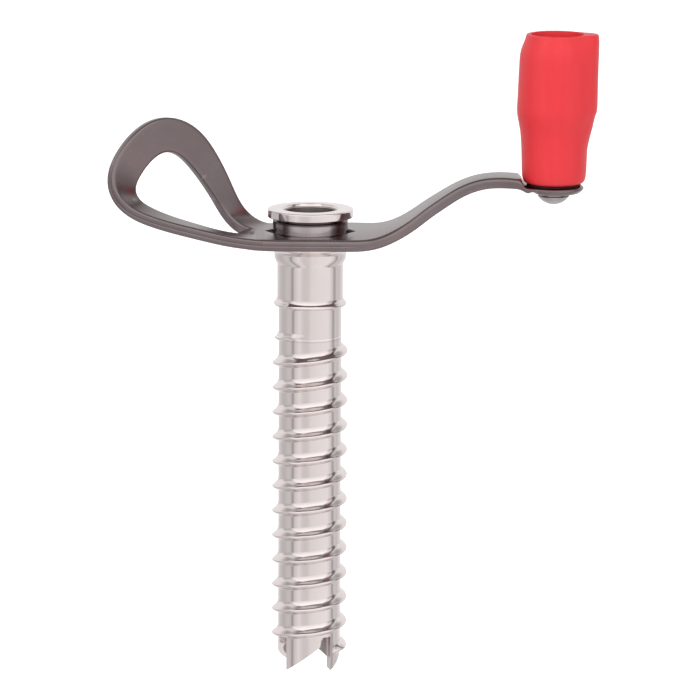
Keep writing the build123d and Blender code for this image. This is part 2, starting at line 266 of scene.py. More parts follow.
def mix_colour(nt, fac, a, b, blend="MIX"):
    n = nt.nodes.new("ShaderNodeMix")
    n.data_type = "RGBA"
    n.blend_type = blend
    for sock, x in ((n.inputs[0], fac), (n.inputs[6], a), (n.inputs[7], b)):
        if isinstance(x, (int, float)):
            sock.default_value = x
        elif isinstance(x, (tuple, list)):
            sock.default_value = (*x, 1.0) if len(x) == 3 else x
        else:
            nt.links.new(x, sock)
    return n.outputs[2]


def bump(nt, height, strength, distance, normal=None):
    b = nt.nodes.new("ShaderNodeBump")
    b.inputs["Strength"].default_value = strength
    b.inputs["Distance"].default_value = distance
    nt.links.new(height, b.inputs["Height"])
    if normal is not None:
        nt.links.new(normal, b.inputs["Normal"])
    return b.outputs[0]


def nickel(name="nickel_polished", rough=0.075):
    """Polished nickel plating over a turned tube: faint turning rings, hairline
    scratches, a slight warm bloom and cloudy roughness."""
    m, nt, b, tc = material(name)
    b.inputs["Metallic"].default_value = 1.0
    cloud = noise(nt, mapping(nt, tc, (1, 1, 0.45)), 95.0, 5.0, 0.6)
    fine = noise(nt, mapping(nt, tc, (1, 1, 1)), 900.0, 3.0, 0.5)
    tint = ramp(nt, cloud.outputs["Fac"], [(0.30, (0.785, 0.706, 0.694)), (0.55, (0.820, 0.740, 0.728)), (0.78, (0.840, 0.764, 0.752))])
    rings = noise(nt, mapping(nt, tc, (0.02, 0.02, 1.0)), 5200.0, 2.0, 0.5)
    hair = noise(nt, mapping(nt, tc, (1.0, 1.0, 0.06), rot=(0.5, 0.35, 0.2)), 2600.0, 2.0, 0.5)
    hairs = ramp(nt, hair.outputs["Fac"], [(0.0, 0.0), (0.66, 0.0), (0.72, 1.0)])
    col = mix_colour(nt, maths(nt, "MULTIPLY", hairs.outputs[0], 0.07), tint.outputs[0], (0.55, 0.50, 0.50))
    # the faint turned line where the thread's run-out starts, drawn as a painted highlight line with a band of painted
    # shade just below it
    sep = nt.nodes.new("ShaderNodeSeparateXYZ")
    nt.links.new(tc.outputs["Object"], sep.inputs[0])
    off = maths(nt, "ABSOLUTE", maths(nt, "MULTIPLY_ADD", sep.outputs["Z"], 1000.0, 25.50))
    # painted highlight: a bright line in the base colour at z = -25.50 mm
    line = ramp(nt, off, [(0.0, 0.85), (0.12, 0.75), (0.26, 0.0)])
    low = maths(nt, "ABSOLUTE", maths(nt, "MULTIPLY_ADD", sep.outputs["Z"], 1000.0, 25.95))
    # painted shade: a darker band in the base colour at z = -25.95 mm
    shade = ramp(nt, low, [(0.0, 0.40), (0.14, 0.30), (0.30, 0.0)])
    col = mix_colour(nt, shade.outputs[0], col, (0.52, 0.46, 0.46))
    col = mix_colour(nt, line.outputs[0], col, (0.98, 0.92, 0.91))
    nt.links.new(col, b.inputs["Base Color"])
    r = maths(nt, "MULTIPLY_ADD", cloud.outputs["Fac"], 0.07, rough - 0.03)
    r = maths(nt, "MULTIPLY_ADD", fine.outputs["Fac"], 0.03, r)
    r = maths(nt, "MULTIPLY_ADD", hairs.outputs[0], 0.06, r)
    nt.links.new(r, b.inputs["Roughness"])
    h = maths(nt, "MULTIPLY_ADD", rings.outputs["Fac"], 0.7, maths(nt, "MULTIPLY", fine.outputs["Fac"], 0.3))
    h = maths(nt, "MULTIPLY_ADD", hairs.outputs[0], -0.35, h)
    nt.links.new(bump(nt, h, 0.10, 0.00002), b.inputs["Normal"])
    return m


def smooth_of(nt, value, lo, hi):
    """0 below lo, 1 above hi, smooth between."""
    n = nt.nodes.new("ShaderNodeMapRange")
    n.interpolation_type = "SMOOTHSTEP"
    n.inputs["From Min"].default_value = lo
    n.inputs["From Max"].default_value = hi
    nt.links.new(value, n.inputs["Value"])
    return n.outputs["Result"]


def bore_steel():
    """The tube's unplated drilled bore: dull brownish steel with drill rings."""
    m, nt, b, tc = material("bore_drilled_steel")
    b.inputs["Metallic"].default_value = 1.0
    cloud = noise(nt, mapping(nt, tc, (1, 1, 0.6)), 120.0, 5.0, 0.6)
    rings = noise(nt, mapping(nt, tc, (0.03, 0.03, 1.0)), 3600.0, 3.0, 0.6)
    col = ramp(nt, cloud.outputs["Fac"], [(0.28, (0.36, 0.305, 0.290)), (0.72, (0.47, 0.415, 0.395))])
    nt.links.new(col.outputs[0], b.inputs["Base Color"])
    r = maths(nt, "MULTIPLY_ADD", cloud.outputs["Fac"], 0.12, 0.28)
    r = maths(nt, "MULTIPLY_ADD", rings.outputs["Fac"], 0.06, r)
    nt.links.new(r, b.inputs["Roughness"])
    nt.links.new(bump(nt, rings.outputs["Fac"], 0.25, 0.00004), b.inputs["Normal"])
    return m


def neck_steel():
    """The neck the hanger slides on: darker steel than the plating, with painted
    shade under the ring and painted dark reflections at the two sides."""
    m, nt, b, tc = material("neck_steel_painted_shade")
    b.inputs["Metallic"].default_value = 1.0
    cloud = noise(nt, mapping(nt, tc, (1, 1, 0.6)), 140.0, 5.0, 0.6)
    rings = noise(nt, mapping(nt, tc, (0.03, 0.03, 1.0)), 4200.0, 3.0, 0.6)
    sep = nt.nodes.new("ShaderNodeSeparateXYZ")
    nt.links.new(tc.outputs["Object"], sep.inputs[0])
    z = maths(nt, "MULTIPLY", sep.outputs["Z"], 1000.0)
    wob = maths(nt, "MULTIPLY_ADD", cloud.outputs["Fac"], 0.8, -0.4)
    side = maths(nt, "ADD", maths(nt, "MULTIPLY", maths(nt, "ABSOLUTE", sep.outputs["X"]), 1000.0), wob)
    # painted dark reflection: the neck's two sides are darkened in the base colour
    sides = smooth_of(nt, side, 4.9, 6.4)
    # painted shade: near-black base colour just under the head ring and in the groove
    under = smooth_of(nt, z, 5.70, 6.20)
    base = ramp(nt, cloud.outputs["Fac"], [(0.28, (0.47, 0.405, 0.405)), (0.72, (0.55, 0.485, 0.48))])
    col = mix_colour(nt, sides, base.outputs[0], (0.25, 0.205, 0.205))
    col = mix_colour(nt, maths(nt, "MULTIPLY", under, 0.92), col, (0.070, 0.050, 0.050))
    nt.links.new(col, b.inputs["Base Color"])
    r = maths(nt, "MULTIPLY_ADD", cloud.outputs["Fac"], 0.10, 0.14)
    nt.links.new(maths(nt, "MULTIPLY_ADD", rings.outputs["Fac"], 0.05, r), b.inputs["Roughness"])
    nt.links.new(bump(nt, rings.outputs["Fac"], 0.15, 0.00003), b.inputs["Normal"])
    return m


def satin_steel(name, dark, light, rough, grain=1.0, along=(0.12, 1.0, 1.0)):
    """Tumbled dark steel plate: a fine even grain, faint drawing lines along
    the strip, small rubs and cloudy patches of a warmer brown."""
    m, nt, b, tc = material(name)
    b.inputs["Metallic"].default_value = 1.0
    cloud = noise(nt, mapping(nt, tc, (1, 1, 1)), 70.0, 5.0, 0.6, 0.3)
    patch = noise(nt, mapping(nt, tc, (1, 1, 1), loc=(0.31, 0.12, 0.4)), 38.0, 3.0, 0.5)
    fine = noise(nt, mapping(nt, tc, (1, 1, 1)), 2400.0, 4.0, 0.6)
    draw = noise(nt, mapping(nt, tc, along), 3200.0, 3.0, 0.55)
    scr = noise(nt, mapping(nt, tc, (1.0, 0.05, 0.6), rot=(0.2, 0.5, 0.9)), 2100.0, 2.0, 0.5)
    rub = ramp(nt, scr.outputs["Fac"], [(0.0, 0.0), (0.67, 0.0), (0.74, 1.0)])
    base = ramp(nt, cloud.outputs["Fac"], [(0.28, dark), (0.72, light)])
    warm = ramp(nt, patch.outputs["Fac"], [(0.45, 0.0), (0.70, 0.55)])
    col = mix_colour(nt, warm.outputs[0], base.outputs[0],
                     (light[0] * 1.02, light[1] * 0.86, light[2] * 0.86))
    # rubbed edges are a little brighter
    geo = nt.nodes.new("ShaderNodeNewGeometry")
    edge = ramp(nt, geo.outputs["Pointiness"], [(0.50, 0.0), (0.60, 0.5)])
    col = mix_colour(nt, edge.outputs[0], col, tuple(min(1.0, 1.5 * c) for c in light))
    col = mix_colour(nt, maths(nt, "MULTIPLY", rub.outputs[0], 0.10), col, tuple(min(1.0, 1.7 * c) for c in light))
    nt.links.new(col, b.inputs["Base Color"])
    r = maths(nt, "MULTIPLY_ADD", cloud.outputs["Fac"], 0.10, rough - 0.05)
    r = maths(nt, "MULTIPLY_ADD", fine.outputs["Fac"], 0.06, r)
    nt.links.new(r, b.inputs["Roughness"])
    h = maths(nt, "MULTIPLY_ADD", draw.outputs["Fac"], 0.5, maths(nt, "MULTIPLY", fine.outputs["Fac"], 0.7))
    h = maths(nt, "MULTIPLY_ADD", rub.outputs[0], -0.2, h)
    nt.links.new(bump(nt, h, 0.16 * grain, 0.00004), b.inputs["Normal"])
    return m


def red_plastic():
    """Smooth moulded nylon: fine spark-eroded texture, faint flow marks, the
    colour paler where it has been handled."""
    m, nt, b, tc = material("knob_red_plastic")
    cloud = noise(nt, mapping(nt, tc, (1, 1, 0.4)), 80.0, 4.0, 0.55)
    fine = noise(nt, mapping(nt, tc, (1, 1, 1)), 2600.0, 3.0, 0.6)
    pores = noise(nt, mapping(nt, tc, (1, 1, 1), loc=(2.1, 0.3, 0.0)), 900.0, 2.0, 0.5)
    flow = noise(nt, mapping(nt, tc, (1, 1, 0.08)), 420.0, 3.0, 0.55)
    base = ramp(nt, cloud.outputs["Fac"], [(0.30, (0.665, 0.024, 0.032)), (0.70, (0.715, 0.031, 0.041))])
    col = mix_colour(nt, maths(nt, "MULTIPLY", ramp(nt, flow.outputs["Fac"], [(0.45, 0.0), (0.75, 1.0)]).outputs[0], 0.12),
                     base.outputs[0], (0.78, 0.070, 0.078))
    geo = nt.nodes.new("ShaderNodeNewGeometry")
    worn = ramp(nt, geo.outputs["Pointiness"], [(0.51, 0.0), (0.62, 0.5)])
    col = mix_colour(nt, worn.outputs[0], col, (0.84, 0.12, 0.13))
    nt.links.new(col, b.inputs["Base Color"])
    r = maths(nt, "MULTIPLY_ADD", cloud.outputs["Fac"], 0.08, 0.36)
    r = maths(nt, "MULTIPLY_ADD", fine.outputs["Fac"], 0.06, r)
    nt.links.new(r, b.inputs["Roughness"])
    b.inputs["Specular IOR Level"].default_value = 0.45
    b.inputs["Subsurface Weight"].default_value = 0.06
    b.inputs["Subsurface Radius"].default_value = (0.0015, 0.0004, 0.0003)
    b.inputs["Subsurface Scale"].default_value = 1.0
    h = maths(nt, "MULTIPLY_ADD", fine.outputs["Fac"], 0.5, maths(nt, "MULTIPLY", pores.outputs["Fac"], 0.5))
    nt.links.new(bump(nt, h, 0.12, 0.00006), b.inputs["Normal"])
    return m


def dark_nylon_painted_shadow():
    """Matt black nylon, tinted dark red as painted shadow of the gap under the knob: fine moulding grain and a few
    paler scuffs.
    """
    m, nt, b, tc = material("washer_dark_nylon_painted_shadow")
    fine = noise(nt, mapping(nt, tc, (1, 1, 1)), 1800.0, 4.0, 0.6)
    scuff = noise(nt, mapping(nt, tc, (1, 1, 0.3)), 420.0, 3.0, 0.55)
    # painted shadow: near-black dark red tones stand for the shaded gap between knob and pad
    col = ramp(nt, scuff.outputs["Fac"], [(0.35, (0.022, 0.006, 0.008)), (0.70, (0.045, 0.012, 0.015))])
    nt.links.new(col.outputs[0], b.inputs["Base Color"])
    nt.links.new(maths(nt, "MULTIPLY_ADD", fine.outputs["Fac"], 0.15, 0.68), b.inputs["Roughness"])
    b.inputs["Specular IOR Level"].default_value = 0.12
    nt.links.new(bump(nt, fine.outputs["Fac"], 0.2, 0.00004), b.inputs["Normal"])
    return m


M_NICKEL = nickel()
M_NYLON_PAINTED_SHADOW = dark_nylon_painted_shadow()
M_BORE = bore_steel()
M_NECK = neck_steel()
M_HANGER = satin_steel("hanger_satin_steel", (0.190, 0.155, 0.158), (0.238, 0.196, 0.200), 0.23, 0.35)
M_AXLE = satin_steel("axle_satin_steel", (0.40, 0.39, 0.39), (0.50, 0.49, 0.49), 0.30, 0.7, (1, 1, 1))
M_WASHER = satin_steel("washer_steel", (0.30, 0.29, 0.29), (0.40, 0.39, 0.385), 0.28, 0.7, (1, 1, 1))
M_RED = red_plastic()


# ------------------------------------------------------------------ the tube
# thread section: offset from the crest along the tube, radius
TH_T = [-1.55, -1.42, -1.28, -1.15, -0.95, -0.75, -0.55, -0.40, -0.25, -0.15, -0.05, 0.05, 0.15, 0.30, 0.50, 0.70, 0.90, 1.05, 1.17, 1.30, 1.45, 1.63, 1.83, 2.05, 2.30, 2.55]
TH_R = [8.580, 8.600, 8.700, 8.950, 9.400, 9.800, 10.10, 10.24, 10.292, 10.297, 10.28, 10.235, 10.15, 9.985, 9.740, 9.500, 9.280, 9.130, 9.025, 8.930, 8.840, 8.755, 8.685, 8.630, 8.595, 8.580]
PLAIN = [2.9, 3.5, 4.2, 4.8, 5.2]


def crest_z(theta):
    return THREAD_Z0 + PITCH * (theta - 180.0) / 360.0


def thread_r(theta, z):
    """Outside radius of the tube with its thread (arrays)."""
    c = crest_z(theta)
    n = np.round((z - c - 0.25) / PITCH)
    cz = c + n * PITCH
    # the crest sinks into the wall along its last part-turn at the top, and
    # starts with a short ramp at its lower end
    f = np.clip((FADE_TOP - cz) / (FADE_TOP - FULL_TOP), 0.0, 1.0)
    g = np.clip((cz - END_LOW) / (END_FULL - END_LOW), 0.0, 1.0)
    t = (z - cz) / (0.55 + 0.45 * f)
    h = (np.interp(t, TH_T, TH_R) - TUBE_R) * (f * f * (3 - 2 * f)) * (g * g * (3 - 2 * g))
    return TUBE_R + h


def arc_points():
    """The rounded root of a tooth, as (across, up) points."""
    zt = -USEFUL
    x1 = TUBE_R * math.sin(math.radians(23.0))
    p = [np.array(q) for q in ((x1 + 0.1, zt + 8.9), (x1 + 0.40, zt + 9.54), (x1 + 1.0, zt + TOOTH_DEPTH))]
    a, b, c = p
    d = 2 * (a[0] * (b[1] - c[1]) + b[0] * (c[1] - a[1]) + c[0] * (a[1] - b[1]))
    ux = ((a @ a) * (b[1] - c[1]) + (b @ b) * (c[1] - a[1]) + (c @ c) * (a[1] - b[1])) / d
    uy = ((a @ a) * (c[0] - b[0]) + (b @ b) * (a[0] - c[0]) + (c @ c) * (b[0] - a[0])) / d
    ctr = np.array([ux, uy])
    rad = np.linalg.norm(a - ctr)
    t0 = math.atan2(*(a - ctr)[::-1])
    t1 = math.atan2(*(c - ctr)[::-1])
    ts = np.linspace(t0, t1, 10)
    pts = [(ux + rad * math.cos(t), uy + rad * math.sin(t)) for t in ts]
    return [(-9.5, zt - 2.4), (x1, zt + 7.2)] + pts + [(12.0, zt + TOOTH_DEPTH)]


TOOTH_PROFILE = arc_points()


def tooth_z(r, dtheta):
    """Height of the cut at radius r, dtheta degrees from the tooth's middle."""
    u = r * np.sin(np.radians(dtheta))
    xs = [p[0] for p in TOOTH_PROFILE]
    zs = [p[1] for p in TOOTH_PROFILE]
    return np.interp(u, xs, zs)


def hex_r(theta, af, rc=0.5):
    """Hexagon with corners at 0, 60, ... degrees, corners slightly rounded."""
    d = (theta % 60.0) - 30.0
    r = (af / 2.0) / math.cos(math.radians(d))
    return min(r, af / 2.0 / math.cos(math.radians(30.0)) - rc)


def build_tube():
    split = -21.0
    # rows that follow the helix
    offs = sorted(TH_T + PLAIN)
    nmin, nmax = -16, 1
    verts, faces = [], []

    def add(p):
        verts.append(p)
        return len(verts) - 1

    bead = [(8.58, -20.0), (8.58, -18.6), (8.58, -17.6), (8.58, -17.22), (8.64, -17.14), (9.00, -17.06), (9.45, -16.98),
            (9.72, -16.88), (9.85, -16.76), (9.91, -16.62), (9.92, -16.48), (9.90, -16.36), (9.85, -16.24), (9.74, -16.08), (9.60, -15.92), (9.45, -15.77),
            (9.32, -15.62), (9.21, -15.46), (9.12, -15.27), (9.05, -15.04), (9.00, -14.76), (8.975, -14.40), (8.97, -14.0), (8.97, -13.0), (8.97, -11.5), (8.97, -9.0), (8.97, -7.0)]
    collar = [(8.97, -6.2), (8.97, -5.62), (8.99, -5.46), (9.09, -5.27), (9.30, -4.92), (9.52, -4.48), (9.68, -4.05), (9.77, -3.70), (9.80, -3.4), (9.80, -2.62), (9.80, -2.38),
              (9.83, -2.26), (9.93, -2.16), (10.4, -1.80), (11.0, -1.34), (11.42, -1.01), (11.60, -0.84), (11.68, -0.66),
              (11.70, -0.45), (11.70, -0.22), (11.66, -0.08), (11.58, 0.0)]
    zin = list(np.arange(-117.0, -109.0, 0.5)) + list(np.arange(-108.0, 6.0, 4.0)) + [6.9, 7.9]

    for s in range(4):
        a0 = TOOTH_A0 + 90.0 * s
        mid = a0 + 45.0
        edge = math.degrees(math.asin(math.sin(math.radians(23.0)))) + 45.0
        ths = np.concatenate([np.linspace(0.0, edge, 64), edge + np.array([0.35, 0.7, 1.1, 1.6, 2.2, 3.0, 4.0, 5.2, 6.6]),
                              np.linspace(edge + 8.0, 90.0, 13)]) + a0
        zo = tooth_z(TUBE_R, ths - mid)
        zi = tooth_z(BORE_R, ths - mid)
        # this sector's tip edge joins the last sector's root
        root_o = float(tooth_z(TUBE_R, np.array([45.0]))[0])
        root_i = float(tooth_z(BORE_R, np.array([45.0]))[0])
        outer, inner = [], []
        for k, th in enumerate(ths):
            zz = []
            for n in range(nmin, nmax + 1):
                zz += [crest_z(th) + n * PITCH + o for o in offs]
            zz = np.clip(np.array(zz), zo[k], split)
            if k == 0:
                j = int(np.argmin(np.abs(zz - root_o)))
                zz[j] = root_o
            rr = thread_r(th, zz)
            col = [(r, z) for r, z in zip(rr, zz)]
            col += bead + collar
            hr = hex_r(th, HEX_AF)
            hr0 = min(hr, 11.50)
            col += [(hr0, 0.0), (hr0, 0.3), (hr0, 2.25), (hr0 - 0.10, 2.45), (max(hr0 - 0.32, NECK_R + 0.02), 2.60),
                    (NECK_R + 0.02, 2.60), (NECK_R, 2.70), (NECK_R, 4.2), (NECK_R, 6.2), (NECK_R - 0.02, 6.36), (NECK_R - 0.09, 6.44), (9.30, 6.46),
                    (9.20, 6.52), (9.20, 7.28), (8.60, 7.28), (8.60, 7.5), (8.60, 8.42), (8.47, 8.55), (7.45, 8.55), (7.25, 8.52), (7.12, 8.40)]
            c, sn = math.cos(math.radians(th)), math.sin(math.radians(th))
            outer.append([add((r * c, r * sn, z)) for r, z in col])
            zc = np.maximum(np.array(zin), zi[k])
            zc = np.concatenate([[zi[k]], zc])
            if k == 0:
                j = int(np.argmin(np.abs(zc - root_i)))
                zc[j] = root_i
            inner.append([add((BORE_R * c, BORE_R * sn, z)) for z in zc])
        for k in range(len(ths) - 1):
            a, b = outer[k], outer[k + 1]
            for i in range(len(a) - 1):
                faces.append((a[i], b[i], b[i + 1], a[i + 1]))
            p, q = inner[k], inner[k + 1]
            for i in range(len(p) - 1):
                faces.append((p[i], p[i + 1], q[i + 1], q[i]))
            faces.append((a[0], p[0], q[0], b[0]))          # the cut below
            faces.append((a[-1], b[-1], q[-1], p[-1]))      # inside the mouth
        # flat flank of the tooth at its cutting edge
        va = np.array([verts[i] for i in outer[0]])
        lo = [i for i, p in zip(outer[0], va) if p[2] <= root_o + 1e-6]
        vb = np.array([verts[i] for i in inner[0]])
        li = [i for i, p in zip(inner[0], vb) if p[2] <= root_i + 1e-6]
        ring = lo + li[::-1]
        faces.append(tuple(ring))
    return make_mesh("screw_tube_body", verts, faces, sharp=42.0)


def dull_bore(o, limit, groove=False):
    """Second material on the faces that look towards the axis, and in the groove."""
    o.data.materials.append(M_NICKEL)
    o.data.materials.append(M_BORE)
    o.data.materials.append(M_NECK)
    for p in o.data.polygons:
        c = p.center
        r = math.hypot(c.x, c.y)
        if r < limit * MM and (c.x * p.normal.x + c.y * p.normal.y) < -0.3 * r:
            p.material_index = 1
        elif groove and 3.0 * MM < c.z < 7.29 * MM and 8.0 * MM < r < 10.4 * MM:
            p.material_index = 2


tube = build_tube()
dull_bore(tube, 7.2, True)
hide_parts("screw_tube")
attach(tube, "tube")

# ------------------------------------------------------------------ head ring
ring_pts = [(8.60, 7.30), (11.65, 7.30), (11.65, 9.60), (7.78, 9.60), (7.35, 9.02), (7.12, 8.66), (7.12, 8.56), (8.60, 8.56)]
ring = revolve("head_ring_turned", fillet(ring_pts, [0.0, 0.28, 0.42, 0.22, 0.0, 0.15, 0.05, 0.0], 6), 256, sharp=50.0)
dull_bore(ring, 7.40)
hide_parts("head_ring")
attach(ring, "tube")

# --------------------------------------------------------------------- hanger
PLATE_TOP, PLATE_BOT = 3.30, 0.05
PLATE_HALF = 15.4
EDGE_R = 1.12                 # the plate's edges are rounded
ARM = [
    (12.0, 3.30, 30.9), (15.0, 3.36, 29.7), (17.6, 3.62, 27.0), (20.2, 4.25, 23.6),
    (22.9, 5.35, 20.6), (25.7, 6.9, 18.8), (28.4, 8.75, 17.3), (31.1, 10.75, 16.0),
    (33.9, 12.65, 14.9), (36.6, 14.4, 13.9), (39.3, 16.0, 13.0), (42.1, 17.3, 12.3),
    (44.8, 18.2, 11.9), (47.5, 18.75, 11.7), (50.2, 18.98, 11.8), (52.9, 18.98, 12.0),
    (55.2, 18.82, 12.5),
]
ARM_END = [(56.35, 18.60), (57.05, 18.0), (57.45, 17.2), (57.95, 16.6), (58.7, 16.32), (60.6, 16.25)]
ARM_END_BOT = [(55.0, 15.92), (56.2, 15.78), (57.2, 15.45), (58.0, 14.98), (58.8, 14.46), (59.6, 13.94), (60.6, 13.40)]
ARM_T = 3.0
DISC_R, DISC_TOP = 8.1, 16.25
DISC_BOT = DISC_TOP - ARM_T + 0.15


def arm_lines():
    """Top and bottom lines of the arm's sheet, as matched dense points."""
    top = [(x, z) for x, z, w in ARM] + ARM_END
    bot = []
    n = len(top)
    for i, (x, z) in enumerate(top):
        a, b = top[max(i - 1, 0)], top[min(i + 1, n - 1)]
        tx, tz = b[0] - a[0], b[1] - a[1]
        ln = math.hypot(tx, tz)
        f = min(max((x - 12.0) / 15.0, 0.0), 1.0)
        t = (PLATE_TOP - PLATE_BOT) + (ARM_T - (PLATE_TOP - PLATE_BOT)) * f
        bot.append((x + t * tz / ln, z - t * tx / ln))
    bot[0] = (12.0, PLATE_BOT)
    bot[-len(ARM_END_BOT):] = ARM_END_BOT
    # straight leads at both ends keep the ends level
    top = [(6.0, PLATE_TOP), (9.0, PLATE_TOP)] + top + [(62.0, DISC_TOP), (64.0, DISC_TOP)]
    bot = [(6.0, PLATE_BOT), (9.0, PLATE_BOT)] + bot + [(62.0, DISC_BOT), (64.0, DISC_BOT)]
    top, bot = np.array(top), np.array(bot)
    s = np.concatenate([[0], np.cumsum(np.linalg.norm(np.diff(top, axis=0), axis=1))])
    q = np.linspace(0, s[-1], 600)
    return cubic(s, top, q), cubic(s, bot, q)


TOP_LINE, BOT_LINE = arm_lines()


def sheet_point(x, y, f):
    """A point of the plate or arm: x, y in plan of its top, f from 0 at the top
    to 1 at the bottom."""
    if x <= 9.0:
        return (x, y, PLATE_TOP + (PLATE_BOT - PLATE_TOP) * f)
    # the pad's underside is turned off towards its rim
    cone = DISC_BOT + min(max(0.649 * (math.hypot(x - KNOB_X, y) - 5.5), 0.0), 1.70)
    if x >= 62.0:
        return (x, y, DISC_TOP + (cone - DISC_TOP) * f)
    zt = np.interp(x, TOP_LINE[:, 0], TOP_LINE[:, 1])
    xb = np.interp(x, TOP_LINE[:, 0], BOT_LINE[:, 0])
    zb = np.interp(x, TOP_LINE[:, 0], BOT_LINE[:, 1])
    if x > 57.2:
        zb = max(zb, zb + (cone - zb) * min((x - 57.2) / 1.5, 1.0))
    return (x + (xb - x) * f, y, zt + (zb - zt) * f)


def edge_rings(r, t, steps=7, flat=2, groove=False):
    """(inset, depth fraction) pairs over a rounded edge of a sheet t thick."""
    out = []
    for k in range(steps + 1):
        a = math.pi / 2 * k / steps
        out.append((r * (1 - math.sin(a)), r * (1 - math.cos(a)) / t))
    d0, d1 = r / t, 1 - r / t
    if groove:
        for ins, dz in ((0.0, -0.34), (0.02, -0.28), (0.17, -0.04), (0.19, 0.0), (0.17, 0.04), (0.02, 0.20), (0.0, 0.25)):
            out.append((ins, 0.52 + dz / t))
    else:
        for k in range(1, flat):
            out.append((0.0, d0 + (d1 - d0) * k / flat))
    for k in range(steps + 1):
        a = math.pi / 2 * (1 - k / steps)
        out.append((r * (1 - math.sin(a)), 1 - r * (1 - math.cos(a)) / t))
    return out


def build_sheet():
    """Flat plate, crank arm and end pad as one solid, without its holes."""
    half = [(x, w / 2.0) for x, z, w in ARM]
    xd = KNOB_X - math.sqrt(DISC_R ** 2 - 6.9 ** 2)
    right = [(-6.0, PLATE_HALF), (0.0, PLATE_HALF + 0.03), (6.0, PLATE_HALF + 0.03)] + half + [(58.3, 6.55), (xd, 6.9)]
    right = np.array(right)
    s = np.concatenate([[0], np.cumsum(np.linalg.norm(np.diff(right, axis=0), axis=1))])
    q = np.linspace(0, s[-1], 260)
    side = cubic(s, right, q)
    # round end of the pad
    a0 = math.atan2(6.9, xd - KNOB_X)
    arc = [(KNOB_X + DISC_R * math.cos(a), DISC_R * math.sin(a)) for a in np.linspace(a0, 0.0, 60)]
    arc = np.array(arc)
    upper = np.vstack([side, arc[1:]])
    left = np.array([(-6.0, PLATE_HALF), (-10.5, 14.2), (-14.2, 10.2), (-17.2, 4.6), (-19.6, -1.2), (-20.3, -5.5),
                     (-19.2, -10.0), (-16.0, -13.6), (-11.0, -15.2), (-6.0, -PLATE_HALF)])
    sl = np.concatenate([[0], np.cumsum(np.linalg.norm(np.diff(left, axis=0), axis=1))])
    lc = cubic(sl, left, np.linspace(0, sl[-1], 161))
    # split the left boundary where it is furthest left
    tip = int(np.argmin(lc[:, 0]))
    lu = lc[:tip + 1][::-1]            # from the tip along +Y to x = -6
    ll = lc[tip:]                      # from the tip along -Y to x = -6

    def resample(c, n):
        d = np.concatenate([[0], np.cumsum(np.linalg.norm(np.diff(c, axis=0), axis=1))])
        t = np.linspace(0, d[-1], n)
        return np.stack([np.interp(t, d, c[:, 0]), np.interp(t, d, c[:, 1])], 1)

    lu, ll = resample(lu, 80), resample(ll, 80)
    hi = np.vstack([lu[:-1], upper])
    lo = np.vstack([ll[:-1], upper * [1, -1]])
    loop = np.vstack([hi, lo[::-1][1:-1]])          # tip .. pad end .. back
    n = len(loop)
    d = np.roll(loop, -1, 0) - np.roll(loop, 1, 0)
    d /= np.linalg.norm(d, axis=1)[:, None]
    nrm = np.stack([d[:, 1], -d[:, 0]], 1)
    c = loop.mean(0)
    if ((loop - c) * nrm).sum() > 0:
        nrm = -nrm                                  # now points inwards
    for _ in range(6):
        nrm = 0.5 * nrm + 0.25 * (np.roll(nrm, 1, 0) + np.roll(nrm, -1, 0))
        nrm /= np.linalg.norm(nrm, axis=1)[:, None]
    rings = edge_rings(EDGE_R, ARM_T + 0.1, groove=True)
    ngr = 8                                         # rings of the rounded edge before the groove
    verts, faces = [], []
    # the groove runs along the plate's front edge only
    gw = np.clip((14.0 - loop[:, 0]) / 6.0, 0.0, 1.0) * (loop[:, 1] < 0)
    for j, (ins, f) in enumerate(rings):
        p = loop + nrm * (ins * gw[:, None] if ngr <= j < ngr + 7 else ins)
        for x, y in p:
            verts.append(sheet_point(x, y, f))
    for j in range(len(rings) - 1):
        for k in range(n):
            k2 = (k + 1) % n
            faces.append((j * n + k, j * n + k2, (j + 1) * n + k2, (j + 1) * n + k))
    m = len(hi)

    def other(k):
        return (n - k) % n
    for base in (0, (len(rings) - 1) * n):
        for k in range(m - 1):
            faces.append((base + k, base + k + 1, base + other(k + 1), base + other(k)))
    return make_mesh("hanger_sheet", verts, faces, sharp=35.0)


